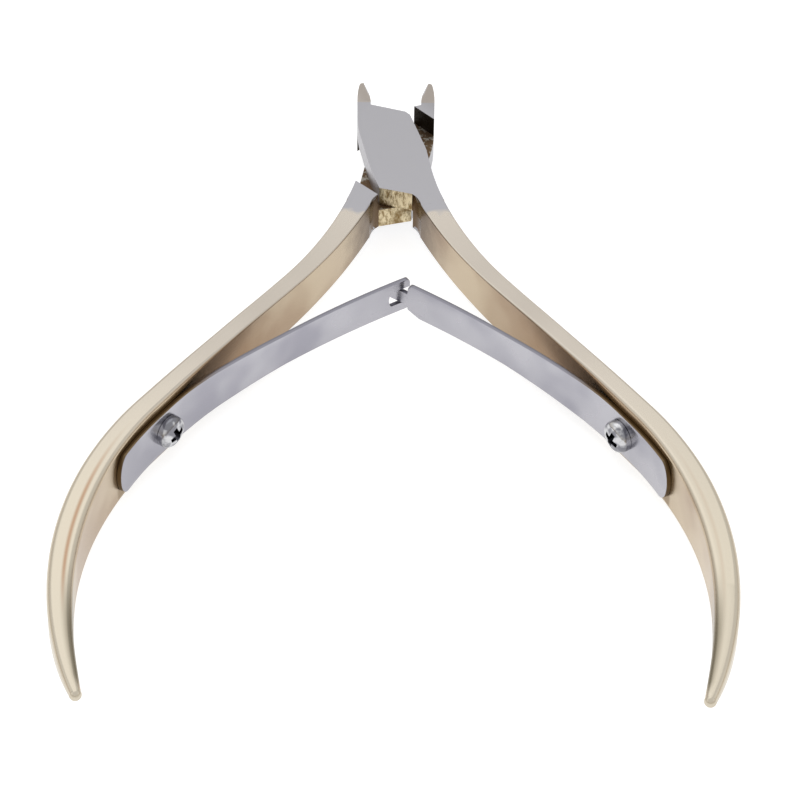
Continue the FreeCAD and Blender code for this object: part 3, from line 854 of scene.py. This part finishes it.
def makeLeaf(tree, name, side, forked):
    shape = leafShape
    crossX = -shape["crossX"] if forked else shape["crossX"]
    reach = shape["forkLength"] if forked else shape["tongueLength"]
    points, hinge = leafPath(crossX, reach)
    path = lineObject(name + "Path", [toRow(side * px, py) for px, py in points])
    outline = leafOutline(points, reach, forked)
    rows = shape["rowsAcross"]
    verts, faces = [], []
    for s, upper, lower, slot in outline:
        for sign, w in ((-1, lower), (1, upper)):
            for k in range(rows + 1):
                verts.append((s * mm, sign * (slot + (w - slot) * k / rows) * mm, 0))
    width = 2 * (rows + 1)
    for i in range(len(outline) - 1):
        for part in (0, rows + 1):
            for k in range(rows):
                a = i * width + part + k
                quad = (a, a + width, a + width + 1, a + 1)
                faces.append(quad if part else quad[::-1])
    mesh = bpy.data.meshes.new(name)
    mesh.from_pydata(verts, [], faces)
    bm = bmesh.new()
    bm.from_mesh(mesh)
    bmesh.ops.remove_doubles(bm, verts=bm.verts, dist=1.5 * weld)
    bm.to_mesh(mesh)
    bm.free()
    obj = newObject(name, mesh)
    applyTree(obj, tree, {"Path": path, "Thickness": shape["thickness"] * mm, "Finish": leafSteel})
    bpy.data.objects.remove(path)
    tidyNormals(obj.data)
    easeEdges(obj, shape["edgeRound"], 50)
    bakeModifiers(obj)
    obj.data.materials.append(leafEdge)
    end = Vector(points[0]) - Vector(points[2])
    endward = Vector((side * end.x, end.y, 0)).normalized()
    tip = toRow(side * points[0][0], points[0][1])
    for face in obj.data.polygons:
        face.use_smooth = True
        atEnd = (face.center - tip).length < 4.5 * mm and face.normal.dot(endward) > 0.5
        if abs(face.normal.z) > 0.6 or atEnd:
            face.material_index = len(obj.data.materials) - 1
    evenNormals(obj)
    bakeModifiers(obj)
    return obj, hinge, crossX


bend = leafTree()
for name, side, forked, half, arm, foot, armNode in (
        ("tongueLeaf", 1, False, "front", "right_arm", "right_spring_foot", "right_spring_arm"),
        ("forkLeaf", -1, True, "back", "left_arm", "left_spring_foot", "left_spring_arm")):
    leaf, hinge, crossX = makeLeaf(bend, name, side, forked)
    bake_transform(leaf)
    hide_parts(foot, armNode)
print("leaf springs made")


def headProfile():
    # half outline of a pan head, from the seat's centre up and round to the top
    r, h = screwShape["headRadius"], screwShape["headHeight"]
    rim = screwShape["rimRound"]
    shoulder = h - screwShape["dome"] - rim
    points = [(0, 0), (r * 0.95, 0), (r, 0.07), (r, shoulder * 0.5)]
    steps = 8
    for i in range(steps + 1):
        a = math.radians(90 * i / steps * 0.93)
        points.append((r - rim + rim * math.cos(a), shoulder + rim * math.sin(a)))
    edgeR, edgeZ = points[-1]
    for i in range(1, steps + 1):
        k = i / steps
        points.append((edgeR * (1 - k), edgeZ + (h - edgeZ) * (1 - (1 - k) ** 2)))
    return points


def headTemplate():
    # one head with its cross recess, on +Z at the origin
    bm = bmesh.new()
    rings = []
    turns = screwShape["turns"]
    for radius, z in headProfile():
        if radius < 1e-6:
            rings.append([bm.verts.new((0, 0, z * mm))])
            continue
        ring = []
        for k in range(turns):
            a = 2 * math.pi * k / turns
            ring.append(bm.verts.new((radius * mm * math.cos(a), radius * mm * math.sin(a), z * mm)))
        rings.append(ring)
    for low, high in zip(rings, rings[1:]):
        for k in range(turns):
            n = (k + 1) % turns
            if len(low) == 1:
                bm.faces.new((low[0], high[n], high[k]))
            elif len(high) == 1:
                bm.faces.new((low[k], low[n], high[0]))
            else:
                bm.faces.new((low[k], low[n], high[n], high[k]))
    bmesh.ops.recalc_face_normals(bm, faces=bm.faces)
    mesh = bpy.data.meshes.new("panHead")
    bm.to_mesh(mesh)
    bm.free()
    head = newObject("panHead", mesh)
    cutters = []
    h, depth = screwShape["headHeight"], screwShape["crossDepth"]
    for quarter in (0, 1):
        corners = []
        for z, reach, width in ((h - depth, *screwShape["crossFloor"]), (h + 0.2, *screwShape["crossMouth"])):
            x, y = screwShape["crossReach"] * reach, screwShape["crossWidth"] * width / 2
            for sx, sy in ((-1, -1), (1, -1), (1, 1), (-1, 1)):
                px, py = (sx * x, sy * y) if quarter == 0 else (-sy * y, sx * x)
                corners.append((px * mm, py * mm, z * mm))
        sides = [(k, (k + 1) % 4, (k + 1) % 4 + 4, k + 4) for k in range(4)]
        wing = bpy.data.meshes.new("crossWing")
        wing.from_pydata(corners, [], [(3, 2, 1, 0), (4, 5, 6, 7), *sides])
        cutter = newObject("crossWing", wing)
        cutters.append(cutter)
        cut = head.modifiers.new("cross", "BOOLEAN")
        cut.object = cutter
        cut.operation = "DIFFERENCE"
        cut.solver = "EXACT"
    easeEdges(head, screwShape["edgeRound"], 35)
    bakeModifiers(head)
    for cutter in cutters:
        bpy.data.objects.remove(cutter)
    return head


def screwTree():
    tree = newTree("leafScrews", [
        ("Head", "NodeSocketObject", None),
        ("Turn", "NodeSocketFloat", 0.0),
        ("Finish", "NodeSocketMaterial", None),
    ])
    enter = addNode(tree, "NodeGroupInput")
    info = addNode(tree, "GeometryNodeObjectInfo", {"transform_space": "ORIGINAL"}, {
        "Object": (enter, "Head")})
    spin = addNode(tree, "ShaderNodeCombineXYZ", None, {2: (enter, "Turn")})
    turned = addNode(tree, "GeometryNodeTransform", None, {"Geometry": (info, "Geometry"), "Rotation": spin})
    outward = addNode(tree, "GeometryNodeInputNamedAttribute", {"data_type": "FLOAT_VECTOR"}, {
        "Name": "outward"})
    align = addNode(tree, "FunctionNodeAlignRotationToVector", {"axis": "Z"}, {"Vector": outward})
    seats = addNode(tree, "GeometryNodeMeshToPoints", None, {"Mesh": (enter, "Geometry")})
    copies = addNode(tree, "GeometryNodeInstanceOnPoints", None, {
        "Points": seats, "Instance": turned, "Rotation": align})
    real = addNode(tree, "GeometryNodeRealizeInstances", None, {"Geometry": copies})
    painted = addNode(tree, "GeometryNodeSetMaterial", None, {
        "Geometry": real, "Material": (enter, "Finish")})
    addNode(tree, "NodeGroupOutput", None, {"Geometry": painted})
    return tree


def makeScrew(tree, head, name, side):
    shape = screwShape
    x, y, heading = handleAt(shape["at"])
    a = math.radians(heading)
    out = Vector((-side * math.cos(a), -math.sin(a), 0))
    off = halfThickness(shape["at"]) + leafShape["thickness"] + leafShape["clearOfHandle"]
    seat = inward(x, y, heading, off)
    foot = toRow(side * seat[0], seat[1])
    mesh = bpy.data.meshes.new(name)
    mesh.from_pydata([foot], [], [])
    mesh.attributes.new("outward", "FLOAT_VECTOR", "POINT").data[0].vector = out
    obj = newObject(name, mesh)
    applyTree(obj, tree, {"Head": head, "Turn": math.radians(side * shape["turn"]), "Finish": screwSteel})
    bm = bmesh.new()
    bm.from_mesh(obj.data)
    bmesh.ops.remove_doubles(bm, verts=bm.verts, dist=weld)
    for face in bm.faces:
        face.smooth = True
    for edge in bm.edges:
        edge.smooth = edge.calc_face_angle(0) < math.radians(35)
    bm.to_mesh(obj.data)
    bm.free()
    pit = obj.data.attributes.new("pit", "FLOAT", "FACE")
    pitFloor = (shape["headHeight"] - shape["crossDepth"] - 0.05) * mm
    for face in obj.data.polygons:
        rise = (face.center - foot).dot(out)
        across = (face.center - foot - rise * out).length
        within = rise > pitFloor and across < shape["crossReach"] * mm
        pit.data[face.index].value = float(within and face.normal.dot(out) < 0.8)
    return obj


heads = screwTree()
template = headTemplate()
for name, side, body, node in (("rightScrewHead", 1, "front", "right_screw"),
                               ("leftScrewHead", -1, "back", "left_screw")):
    screw = makeScrew(heads, template, name, side)
    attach(screw, body)
    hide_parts(node)
bpy.data.objects.remove(template)
print("screws made")


studio = {
    "floorGlow": 0.72,
    "skyTop": "#FFFFFF",
    "skySide": "#ECE7DF",
    "skyStrength": 0.95,
    "cameraFar": 420.0,
    "elevation": 44.0,
    "azimuth": 0.62,
    "roll": 1.067,
    "target": (0.605, -38.955, 0.0),
    "lens": 173.9,
    # name, place and size in metres, watts; all look at the origin
    "lights": [
        ("overheadSoftbox", (-0.1, 0.25, 0.45), (0.5, 0.35), 0.3),
        ("leftSoftbox", (-0.45, -0.1, 0.25), (0.3, 0.3), 0.08),
        ("rightSoftbox", (0.45, -0.05, 0.25), (0.3, 0.3), 0.06),
    ],
}


def makeFloor():
    material, tree = newMaterial("paleBoard")
    coord = addNode(tree, "ShaderNodeTexCoord")
    grain = addNode(tree, "ShaderNodeTexNoise", None, {
        "Vector": (coord, "Object"), "Scale": 400.0, "Detail": 2.0})
    bump = addNode(tree, "ShaderNodeBump", None, {"Height": (grain, 0), "Distance": 0.00002, "Strength": 0.2})
    body = addNode(tree, "ShaderNodeBsdfPrincipled", None, {
        "Base Color": linear(finish["floor"]), "Roughness": 0.9, "Normal": (bump, 0),
        "Emission Color": (1, 1, 1, 1), "Emission Strength": studio["floorGlow"]})
    addNode(tree, "ShaderNodeOutputMaterial", None, {"Surface": (body, 0)})
    mesh = bpy.data.meshes.new("floor")
    r = 1.5
    mesh.from_pydata([(-r, -r, 0), (r, -r, 0), (r, r, 0), (-r, r, 0)], [], [(0, 1, 2, 3)])
    mesh.materials.append(material)
    floor = newObject("floor", mesh)


def makeLight(name, place, size, power):
    data = bpy.data.lights.new(name, "AREA")
    data.shape = "RECTANGLE"
    data.size, data.size_y = size
    data.energy = power
    light = bpy.data.objects.new(name, data)
    bpy.context.scene.collection.objects.link(light)
    light.location = place
    light.rotation_euler = (-Vector(place)).to_track_quat("-Z", "Y").to_euler()


def makeSky():
    world = bpy.data.worlds.new("studioSky")
    bpy.context.scene.world = world
    world.use_nodes = True
    tree = world.node_tree
    tree.nodes.clear()
    coord = addNode(tree, "ShaderNodeTexCoord")
    split = addNode(tree, "ShaderNodeSeparateXYZ", None, {0: (coord, "Generated")})
    rise = addNode(tree, "ShaderNodeMapRange", smooth, {
        "Value": (split, 2), "From Min": 0.1, "From Max": 0.6})
    colour = addNode(tree, "ShaderNodeMix", colours, {
        0: rise, 6: linear(studio["skySide"]), 7: linear(studio["skyTop"])})
    back = addNode(tree, "ShaderNodeBackground", None, {
        "Color": (colour, 2), "Strength": studio["skyStrength"]})
    addNode(tree, "ShaderNodeOutputWorld", None, {"Surface": back})


def makeCamera():
    e, az, roll = (math.radians(studio[k]) for k in ("elevation", "azimuth", "roll"))
    look = Vector((math.sin(az) * math.cos(e), math.cos(az) * math.cos(e), -math.sin(e)))
    right = Vector((math.cos(az), -math.sin(az), 0))
    up = right.cross(look)
    across = math.cos(roll) * right + math.sin(roll) * up
    upward = -math.sin(roll) * right + math.cos(roll) * up
    place = toRow(*studio["target"]) - look * studio["cameraFar"] * mm
    data = bpy.data.cameras.new("benchCamera")
    data.lens = studio["lens"]
    data.sensor_width = 36.0
    data.clip_start = 0.01
    camera = bpy.data.objects.new("benchCamera", data)
    bpy.context.scene.collection.objects.link(camera)
    camera.matrix_world = Matrix((
        (across.x, upward.x, -look.x, place.x),
        (across.y, upward.y, -look.y, place.y),
        (across.z, upward.z, -look.z, place.z),
        (0, 0, 0, 1)))
    bpy.context.scene.camera = camera


makeFloor()
makeSky()
for name, place, size, power in studio["lights"]:
    makeLight(name, place, size, power)
makeCamera()
bpy.context.scene.view_settings.view_transform = "Standard"
print("studio made")
